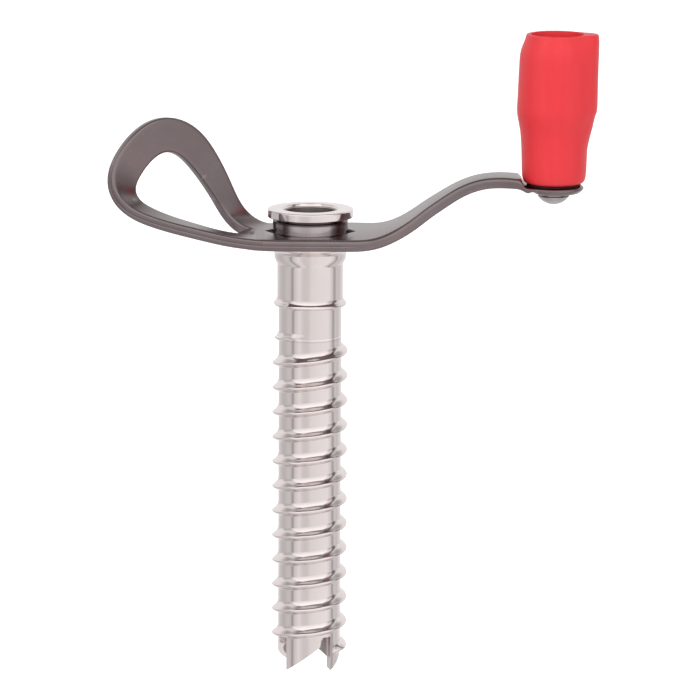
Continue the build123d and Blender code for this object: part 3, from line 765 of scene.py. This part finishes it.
EYE = [
    ((-9.00, -14.90, 3.18), (-9.00, -4.60, 3.18)),
    ((-13.00, -14.85, 3.20), (-13.00, -4.90, 3.20)),
    ((-17.16, -14.59, 3.53), (-17.46, -5.62, 3.47)),
    ((-21.41, -14.50, 4.14), (-21.68, -6.20, 4.02)),
    ((-25.70, -14.50, 5.02), (-25.76, -6.38, 4.95)),
    ((-29.99, -14.50, 6.02), (-29.74, -6.32, 6.08)),
    ((-34.15, -14.50, 7.02), (-33.59, -6.32, 7.23)),
    ((-38.03, -14.52, 8.01), (-37.22, -6.48, 8.45)),
    ((-41.64, -14.62, 9.06), (-40.44, -6.88, 9.80)),
    ((-44.91, -14.80, 10.21), (-43.03, -7.52, 11.18)),
    ((-47.77, -14.97, 11.61), (-44.95, -8.24, 12.57)),
    ((-50.14, -15.02, 13.36), (-46.14, -8.76, 14.06)),
    ((-51.86, -14.80, 15.60), (-46.61, -8.89, 15.60)),
    ((-52.83, -14.02, 18.28), (-46.44, -8.61, 17.16)),
    ((-52.90, -12.76, 21.11), (-45.74, -7.99, 18.73)),
    ((-52.01, -11.50, 23.99), (-44.71, -7.15, 20.37)),
    ((-50.39, -10.14, 26.86), (-43.46, -6.17, 22.01)),
    ((-48.25, -8.46, 29.64), (-42.06, -5.10, 23.43)),
    ((-45.52, -6.41, 32.17), (-40.63, -4.06, 24.44)),
    ((-42.23, -4.08, 33.97), (-39.27, -3.13, 24.95)),
    ((-38.59, -1.67, 34.50), (-37.92, -2.25, 24.98)),
    ((-34.84, 0.67, 33.63), (-36.43, -1.33, 24.53)),
    ((-31.30, 2.74, 31.49), (-34.81, -0.39, 23.50)),
    ((-28.37, 4.32, 28.44), (-33.16, 0.51, 21.90)),
    ((-26.05, 5.45, 24.93), (-31.56, 1.33, 19.90)),
    ((-24.10, 6.32, 21.32), (-29.96, 2.13, 17.69)),
    ((-22.40, 7.04, 17.71), (-28.37, 2.91, 15.29)),
    ((-20.91, 7.63, 14.19), (-26.75, 3.68, 12.66)),
    ((-19.52, 8.20, 11.05), (-25.09, 4.46, 9.87)),
    ((-17.84, 9.11, 8.22), (-23.02, 4.67, 7.09)),
    ((-15.48, 10.56, 5.64), (-20.17, 4.02, 4.81)),
    ((-12.60, 12.20, 3.75), (-16.90, 3.40, 3.45)),
    ((-8.60, 12.90, 3.18), (-12.60, 3.00, 3.18)),
]
EYE_T = 3.00
EYE_R = 0.80                  # the eye's edges are rounded less


def build_eye():
    o = np.array([e[0] for e in EYE])
    i = np.array([e[1] for e in EYE])
    mid = (o + i) / 2
    s = np.concatenate([[0], np.cumsum(np.linalg.norm(np.diff(mid, axis=0), axis=1))])
    q = np.linspace(0, s[-1], 300)
    o, i = cubic(s, o, q), cubic(s, i, q)
    for _ in range(24):                     # even out the two border lines
        o[1:-1] = 0.5 * o[1:-1] + 0.25 * (o[2:] + o[:-2])
        i[1:-1] = 0.5 * i[1:-1] + 0.25 * (i[2:] + i[:-2])
    mid = (o + i) / 2
    t = np.gradient(mid, axis=0)
    t[0], t[-1] = (-1, 0, 0), (1, 0, 0)
    t /= np.linalg.norm(t, axis=1)[:, None]
    w = i - o
    ww = np.linalg.norm(w, axis=1)[:, None]
    w /= ww
    n = np.cross(w, t)
    n /= np.linalg.norm(n, axis=1)[:, None]
    for _ in range(60):
        n[1:-1] = 0.5 * n[1:-1] + 0.25 * (n[2:] + n[:-2])
    n /= np.linalg.norm(n, axis=1)[:, None]
    n[0] = n[-1] = (0, 0, 1)
    R, T = EYE_R, EYE_T
    sec = []                                # (from outer, from inner, depth)
    er = edge_rings(R, T)
    for j, (ins, f) in enumerate(edge_rings(R, T, groove=True)):        # round the outer edge, from the top
        sec.append(("g" if 8 <= j < 15 else "o", ins, f * T))
    for k in (0.1, 0.2, 0.3, 0.4, 0.5, 0.6, 0.7, 0.8, 0.9):
        sec.append(("m", k, T))
    for ins, f in er[::-1]:
        sec.append(("i", ins, f * T))
    for k in (0.9, 0.8, 0.7, 0.6, 0.5, 0.4, 0.3, 0.2, 0.1):
        sec.append(("m", k, 0.0))
    verts, faces = [], []
    for k in range(len(q)):
        for kind, a, dep in sec:
            if kind == "o":
                p = o[k] + w[k] * a
            elif kind == "g":                       # groove, fading out up the left limb
                p = o[k] + w[k] * a * min(max((0.50 - k / len(q)) / 0.12, 0.0), 1.0)
            elif kind == "i":
                p = i[k] - w[k] * a
            else:
                p = o[k] + w[k] * (R + a * (ww[k] - 2 * R))
            verts.append(tuple(p - n[k] * dep))
    m = len(sec)
    for k in range(len(q) - 1):
        for j in range(m):
            j2 = (j + 1) % m
            faces.append((k * m + j, (k + 1) * m + j, (k + 1) * m + j2, k * m + j2))
    faces.append(tuple(range(m)))
    faces.append(tuple((len(q) - 1) * m + j for j in range(m))[::-1])
    return make_mesh("hanger_eye", verts, faces, sharp=35.0)


def hex_cutter():
    """Hexagonal punch with a small flare at both faces."""
    rows = [(-2.0, 0.60), (PLATE_BOT - 0.02, 0.32), (PLATE_BOT + 0.28, 0.0), (PLATE_TOP - 0.30, 0.0), (PLATE_TOP + 0.02, 0.32), (6.0, 0.60)]
    af = 20.84
    verts, faces = [], []
    for z, ex in rows:
        for k in range(6):
            for dd in (-1.2, 0.0, 1.2):
                a = 60.0 * k + dd
                r = (af / 2 + ex) / math.cos(math.radians(30.0 - abs(dd)))
                if dd == 0.0:
                    r = r * math.cos(math.radians(1.2)) + 0.06
                verts.append((r * math.cos(math.radians(a)), r * math.sin(math.radians(a)), z))
    n = 18
    for j in range(len(rows) - 1):
        for k in range(n):
            k2 = (k + 1) % n
            faces.append((j * n + k, j * n + k2, (j + 1) * n + k2, (j + 1) * n + k))
    faces.append(tuple(range(n))[::-1])
    faces.append(tuple((len(rows) - 1) * n + k for k in range(n)))
    return make_mesh("cutter_hex", verts, faces)


def boolean(target, other, op):
    mod = target.modifiers.new("b", "BOOLEAN")
    mod.operation = op
    mod.solver = "EXACT"
    mod.object = other
    dg = bpy.context.evaluated_depsgraph_get()
    dg.update()
    me = bpy.data.meshes.new_from_object(target.evaluated_get(dg), depsgraph=dg)
    target.modifiers.clear()
    old = target.data
    target.data = me
    bpy.data.meshes.remove(old)
    om = other.data
    bpy.data.objects.remove(other)
    bpy.data.meshes.remove(om)


hanger = build_sheet()
boolean(hanger, build_eye(), "UNION")
boolean(hanger, hex_cutter(), "DIFFERENCE")
hole = revolve("cutter_hole", [(0.0, 8.0), (3.0, 8.0), (3.0, 20.0), (0.0, 20.0)], 64, (KNOB_X, 0.0))
boolean(hanger, hole, "DIFFERENCE")
hanger.name = "hanger_plate_arm_eye"
for p in hanger.data.polygons:
    p.use_smooth = True
hanger.data.set_sharp_from_angle(angle=math.radians(32))
hanger.data.materials.clear()
hanger.data.materials.append(M_HANGER)
for v in hanger.data.vertices:      # the outermost points stay on the plate's own outline
    v.co.x = max(v.co.x, -54.403 * MM)
    v.co.y = min(15.527 * MM, max(-15.527 * MM, v.co.y))
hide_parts("hanger")
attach(hanger, "hanger")

# ----------------------------------------------------------------------- knob
KNOB_BOT, KNOB_TOP, KNOB_FLOOR, MOUTH_R = 16.95, 57.4, 46.0, 7.15
MOUTH_DX = 0.45
KNOB = [
    (16.95, 7.50, 0.3, 7.25), (17.20, 8.00, 0.3, 7.75), (17.60, 8.32, 0.3, 8.07), (18.60, 8.58, 0.3, 8.33),
    (20.60, 8.74, 0.3, 8.49), (23.00, 8.80, 0.3, 8.55), (24.60, 8.86, 0.5, 8.40), (26.20, 8.90, 0.9, 8.05),
    (27.85, 9.00, 1.5, 7.75), (29.50, 9.12, 2.2, 7.40), (31.40, 9.32, 3.0, 7.10), (32.20, 9.50, 3.4, 6.90),
    (33.85, 9.82, 3.95, 6.70), (34.70, 10.00, 4.30, 6.55), (35.50, 10.14, 4.65, 6.42), (36.30, 10.21, 5.10, 6.30),
    (37.20, 10.23, 5.30, 6.20), (38.20, 10.21, 5.40, 6.15), (40.40, 10.08, 5.50, 6.08), (43.60, 9.98, 5.55, 6.03),
    (48.00, 9.79, 5.64, 6.00), (51.00, 9.66, 5.72, 6.00), (52.30, 9.50, 5.80, 5.95), (53.40, 9.25, 6.00, 5.75),
    (54.50, 8.83, 6.60, 5.18), (55.60, 8.38, 7.30, 4.48), (56.90, 7.98, 8.00, 3.65), (57.40, 7.80, 8.25, 3.30),
]


def nose_radius(t, r0, d, r1):
    a = math.acos(min((r0 - r1) / d, 1.0))
    t = abs(math.atan2(math.sin(t), math.cos(t)))
    tp1 = math.atan2(r1 * math.sin(a), d + r1 * math.cos(a))
    if t >= a:
        return r0
    if t <= tp1:
        c = d * math.cos(t)
        return c + math.sqrt(max(r1 * r1 - (d * math.sin(t)) ** 2, 0.0))
    return r0 / math.cos(t - a)


def build_knob():
    segs = 192
    tab = np.array(KNOB)
    rows = []
    # outer wall, from the bottom up
    zq = np.concatenate([np.linspace(16.95, 20.6, 14), np.linspace(21.2, 33.0, 26), np.linspace(33.3, 38.7, 22), np.linspace(39.5, 50.5, 12),
                         np.linspace(50.9, 56.95, 24)])
    par = np.stack([np.interp(zq, tab[:, 0], tab[:, k]) for k in (1, 2, 3)], 1)
    # soften the table's corners
    for _ in range(2):
        par[1:-1] = 0.5 * par[1:-1] + 0.25 * (par[2:] + par[:-2])
    angs = np.linspace(0, 2 * math.pi, segs, endpoint=False)
    wall = []
    for z, (r0, d, r1) in zip(zq, par):
        rr = np.array([nose_radius(a, r0, d, r1) for a in angs])
        for _ in range(2):
            rr = 0.5 * rr + 0.25 * (np.roll(rr, 1) + np.roll(rr, -1))
        wall.append((rr, z))
    rim = wall[-1][0]
    top = []
    for k in range(1, 6):                                   # rounded top edge
        a = math.pi / 2 * k / 5
        top.append((rim - 0.45 * (1 - math.cos(a)), 56.95 + 0.45 * math.sin(a)))
    inner_r = MOUTH_R + 0.22
    last = top[-1][0]

    def off_centre(r):
        """Radius of the recess's circle about the knob's own axis."""
        return MOUTH_DX * np.cos(angs) + np.sqrt(r * r - (MOUTH_DX * np.sin(angs)) ** 2)

    for k in (0.25, 0.5, 0.75):
        top.append((last + (off_centre(inner_r) - last) * k, KNOB_TOP))
    mouth = []
    for k in range(0, 6):
        a = math.pi / 2 * k / 5
        mouth.append((inner_r - 0.22 * math.sin(a), KNOB_TOP - 0.22 * (1 - math.cos(a))))
    mouth += [(MOUTH_R, z) for z in (56.0, 53.0, 50.0, 48.0, 46.8)]
    for k in range(1, 6):
        a = math.pi / 2 * k / 5
        mouth.append((MOUTH_R - 0.6 * (1 - math.cos(a)), KNOB_FLOOR + 0.6 - 0.6 * math.sin(a)))
    mouth += [(5.0, KNOB_FLOOR), (3.3, KNOB_FLOOR), (3.06, KNOB_FLOOR - 0.25), (3.06, 35.0), (3.06, 22.0), (3.06, 17.2), (3.3, KNOB_BOT), (5.5, KNOB_BOT)]
    cols = []
    for rr, z in wall + top:
        cols.append((rr, z))
    for r, z in mouth:
        cols.append((off_centre(r) if z > KNOB_FLOOR and r > 6.0 else np.full(segs, r), z))
    n = len(cols)
    verts, faces = [], []
    for rr, z in cols:
        for k, a in enumerate(angs):
            verts.append((KNOB_X + rr[k] * math.cos(a), rr[k] * math.sin(a), z))
    for j in range(n):
        j2 = (j + 1) % n
        for k in range(segs):
            k2 = (k + 1) % segs
            faces.append((j * segs + k, j * segs + k2, j2 * segs + k2, j2 * segs + k))
    return make_mesh("knob_shell", verts, faces, sharp=40.0)


knob = build_knob()
knob.data.materials.append(M_RED)
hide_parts("knob")
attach(knob, "knob")

# ---------------------------------------------------------- axle and washers
dome_r, dome_h = 4.30, 2.35
rr_ = (dome_r ** 2 + dome_h ** 2) / (2 * dome_h)
zc_ = DISC_BOT - dome_h + rr_
amax_ = math.asin(dome_r / rr_)
prof = [(0.0, DISC_BOT - dome_h)]
for k in range(1, 25):
    a = amax_ * k / 24
    prof.append((rr_ * math.sin(a), zc_ - rr_ * math.cos(a)))
prof[-1] = (dome_r - 0.03, DISC_BOT - 0.06)
prof += [(dome_r - 0.10, DISC_BOT - 0.01), (3.0, DISC_BOT - 0.01), (3.0, 20.0), (3.0, 47.30), (4.0, 47.30), (4.15, 47.36), (4.2, 47.5)]
for k in range(1, 14):
    a = math.radians(90.0 * k / 14)
    prof.append((4.2 * math.cos(a), 47.5 + 1.3 * math.sin(a)))
prof += [(1.0, 48.76), (0.7, 48.66), (0.0, 48.60)]          # small dimple left by the peening tool
axle = revolve("knob_axle_riveted", prof, 128, (KNOB_X, 0.0), sharp=50.0)
axle.data.materials.append(M_AXLE)
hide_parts("knob_axle")
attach(axle, "hanger")


def washer(name, z0, z1, r_out, node_name, mat):
    pts = [(3.02, z0), (r_out, z0), (r_out, z1), (3.02, z1)]
    o = revolve(name, fillet(pts, [0.0, 0.12, 0.18, 0.10], 4), 96, (KNOB_X, 0.0), sharp=60.0)
    o.data.materials.append(mat)
    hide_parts(node_name)
    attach(o, "hanger")
    return o


# painted shadow: the near-black thrust washer, 7.3 mm in radius, shows as the dark shadow line under the knob
washer("knob_thrust_washer_disc", DISC_TOP, KNOB_BOT - 0.08, 7.3, "knob_thrust_washer", M_NYLON_PAINTED_SHADOW)
washer("knob_retaining_washer_disc", KNOB_FLOOR + 0.3, KNOB_FLOOR + 1.3, 5.6, "knob_retaining_washer", M_WASHER)

# ---------------------------------------------------------------------- stage
floor_z = -0.165
bpy.ops.mesh.primitive_plane_add(size=8.0, location=(0, 0, floor_z))
floor = bpy.context.object
floor.name = "floor"
mf, nt, b, tc = material("pale_floor")
n1 = noise(nt, mapping(nt, tc, (1, 1, 1)), 4.0, 3.0, 0.5)
c1 = ramp(nt, n1.outputs["Fac"], [(0.3, (0.93, 0.93, 0.93)), (0.7, (0.96, 0.96, 0.96))])
nt.links.new(c1.outputs[0], b.inputs["Base Color"])
b.inputs["Roughness"].default_value = 0.9
b.inputs["Emission Color"].default_value = (1, 1, 1, 1)
b.inputs["Emission Strength"].default_value = 0.55
floor.data.materials.append(mf)
floor.visible_glossy = False
floor.visible_shadow = False
floor.visible_diffuse = False

# studio: a light surround in front and behind, dark sides above the table, a
# dark ceiling and a few narrow dark gaps between the low side panels
world = bpy.data.worlds.new("studio")
bpy.context.scene.world = world
world.use_nodes = True
nt = world.node_tree
for n in list(nt.nodes):
    nt.nodes.remove(n)
wout = nt.nodes.new("ShaderNodeOutputWorld")
bg = nt.nodes.new("ShaderNodeBackground")
nt.links.new(bg.outputs[0], wout.inputs[0])
tcw = nt.nodes.new("ShaderNodeTexCoord")
sep = nt.nodes.new("ShaderNodeSeparateXYZ")
nt.links.new(tcw.outputs["Generated"], sep.inputs[0])
X, Y, Z = sep.outputs
elev = maths(nt, "MULTIPLY", maths(nt, "ARCSINE", Z), 180 / math.pi)
azim = maths(nt, "MULTIPLY", maths(nt, "ARCTAN2", X, maths(nt, "MULTIPLY", Y, -1.0)), 180 / math.pi)
az01 = maths(nt, "MULTIPLY_ADD", azim, 1 / 360.0, 0.5)


def az(v):
    return (v + 180.0) / 360.0


low = ramp(nt, az01, [
    (az(-180), 0.86), (az(-150), 0.78), (az(-122), 0.62), (az(-106), 0.58), (az(-84), 0.68), (az(-72), 0.64),
    (az(-67), 0.42), (az(-62), 0.42), (az(-57), 0.70), (az(-38), 0.90), (az(-22), 0.74), (az(-7), 0.74), (az(5), 0.87),
    (az(40), 0.93), (az(70), 0.96), (az(86), 0.74), (az(93), 0.45), (az(98), 0.45), (az(105), 0.72), (az(120), 0.66), (az(150), 0.86), (az(180), 0.86)])


def smooth(x, a, b):
    n = nt.nodes.new("ShaderNodeMapRange")
    n.interpolation_type = "SMOOTHSTEP"
    n.inputs["From Min"].default_value = a
    n.inputs["From Max"].default_value = b
    nt.links.new(x, n.inputs["Value"])
    return n.outputs["Result"]


absaz = maths(nt, "ABSOLUTE", azim)
front = maths(nt, "SUBTRACT", 1.0, smooth(absaz, 58.0, 76.0))
back = smooth(absaz, 104.0, 122.0)
side = maths(nt, "SUBTRACT", 1.0, maths(nt, "ADD", front, back))
CEIL = 0.28


def fade(lo, hi, c0, c1):
    """From lo to hi over the elevations between c0 and c1."""
    return maths(nt, "MULTIPLY_ADD", smooth(elev, c0, c1), hi - lo, lo)


up_front = fade(0.95, 1.25, -8.0, 52.0)
c = smooth(elev, 63.0, 71.0)
up_front = maths(nt, "ADD", maths(nt, "MULTIPLY", up_front, maths(nt, "SUBTRACT", 1.0, c)), maths(nt, "MULTIPLY", c, CEIL))
up_back = fade(0.92, 0.42, 26.0, 46.0)
c = smooth(elev, 50.0, 64.0)
up_side = fade(0.55, 0.80, 14.0, 26.0)
up_side = maths(nt, "ADD", maths(nt, "MULTIPLY", up_side, maths(nt, "SUBTRACT", 1.0, c)), maths(nt, "MULTIPLY", c, CEIL))
# one dark stand on the right
stand = maths(nt, "MULTIPLY", smooth(azim, 83.0, 89.0), maths(nt, "SUBTRACT", 1.0, smooth(azim, 100.0, 106.0)))
up_side = maths(nt, "MULTIPLY", up_side, maths(nt, "MULTIPLY_ADD", stand, -0.70, 1.0))
upper = maths(nt, "ADD", maths(nt, "MULTIPLY", up_front, front),
              maths(nt, "ADD", maths(nt, "MULTIPLY", up_back, back), maths(nt, "MULTIPLY", up_side, side)))
rise = smooth(elev, -3.0, 3.0)
val = maths(nt, "ADD", maths(nt, "MULTIPLY", low.outputs[0], maths(nt, "SUBTRACT", 1.0, rise)),
            maths(nt, "MULTIPLY", upper, rise))
lp = nt.nodes.new("ShaderNodeLightPath")
colr = nt.nodes.new("ShaderNodeCombineXYZ")
for k in range(3):
    nt.links.new(val, colr.inputs[k])
env = mix_colour(nt, lp.outputs["Is Camera Ray"], colr.outputs[0], (1.0, 1.0, 1.0))
nt.links.new(env, bg.inputs["Color"])
bg.inputs["Strength"].default_value = 1.0


def area(name, loc, target, size, power):
    l = bpy.data.lights.new(name, "AREA")
    l.shape = "RECTANGLE"
    l.size, l.size_y = size
    l.energy = power
    o = bpy.data.objects.new(name, l)
    bpy.context.scene.collection.objects.link(o)
    o.location = loc
    o.rotation_mode = "QUATERNION"
    o.rotation_quaternion = (Vector(target) - Vector(loc)).to_track_quat("-Z", "Y")
    o.visible_glossy = False
    return o


area("key", (0.45, -1.0, 0.75), (0.02, 0, -0.02), (0.9, 0.7), 6.0)
area("fill", (-0.9, -0.7, 0.35), (0, 0, -0.03), (0.8, 0.8), 3.4)

# --------------------------------------------------------------------- camera
cam_data = bpy.data.cameras.new("camera")
cam = bpy.data.objects.new("camera", cam_data)
bpy.context.scene.collection.objects.link(cam)
cam_data.sensor_width = 36.0
cam_data.lens = 4320.0 / 700.0 * 36.0
cam_data.clip_start, cam_data.clip_end = 0.05, 20.0
tilt, roll = math.radians(11.2), math.radians(0.30)
fwd = Vector((0.0, math.cos(tilt), -math.sin(tilt)))
up0 = Vector((0.0, math.sin(tilt), math.cos(tilt)))
rt0 = Vector((1.0, 0.0, 0.0))
rt = rt0 * math.cos(roll) + up0 * math.sin(roll)
up = -rt0 * math.sin(roll) + up0 * math.cos(roll)
m = Matrix((rt, up, -fwd)).transposed().to_4x4()
m.translation = Vector((0.01094, -1.15720, 0.19952))
cam.matrix_world = m
bpy.context.scene.camera = cam

vs = bpy.context.scene.view_settings
vs.view_transform = "Standard"
vs.look = "None"
vs.exposure = 0.0
vs.gamma = 1.0

bpy.context.view_layer.update()
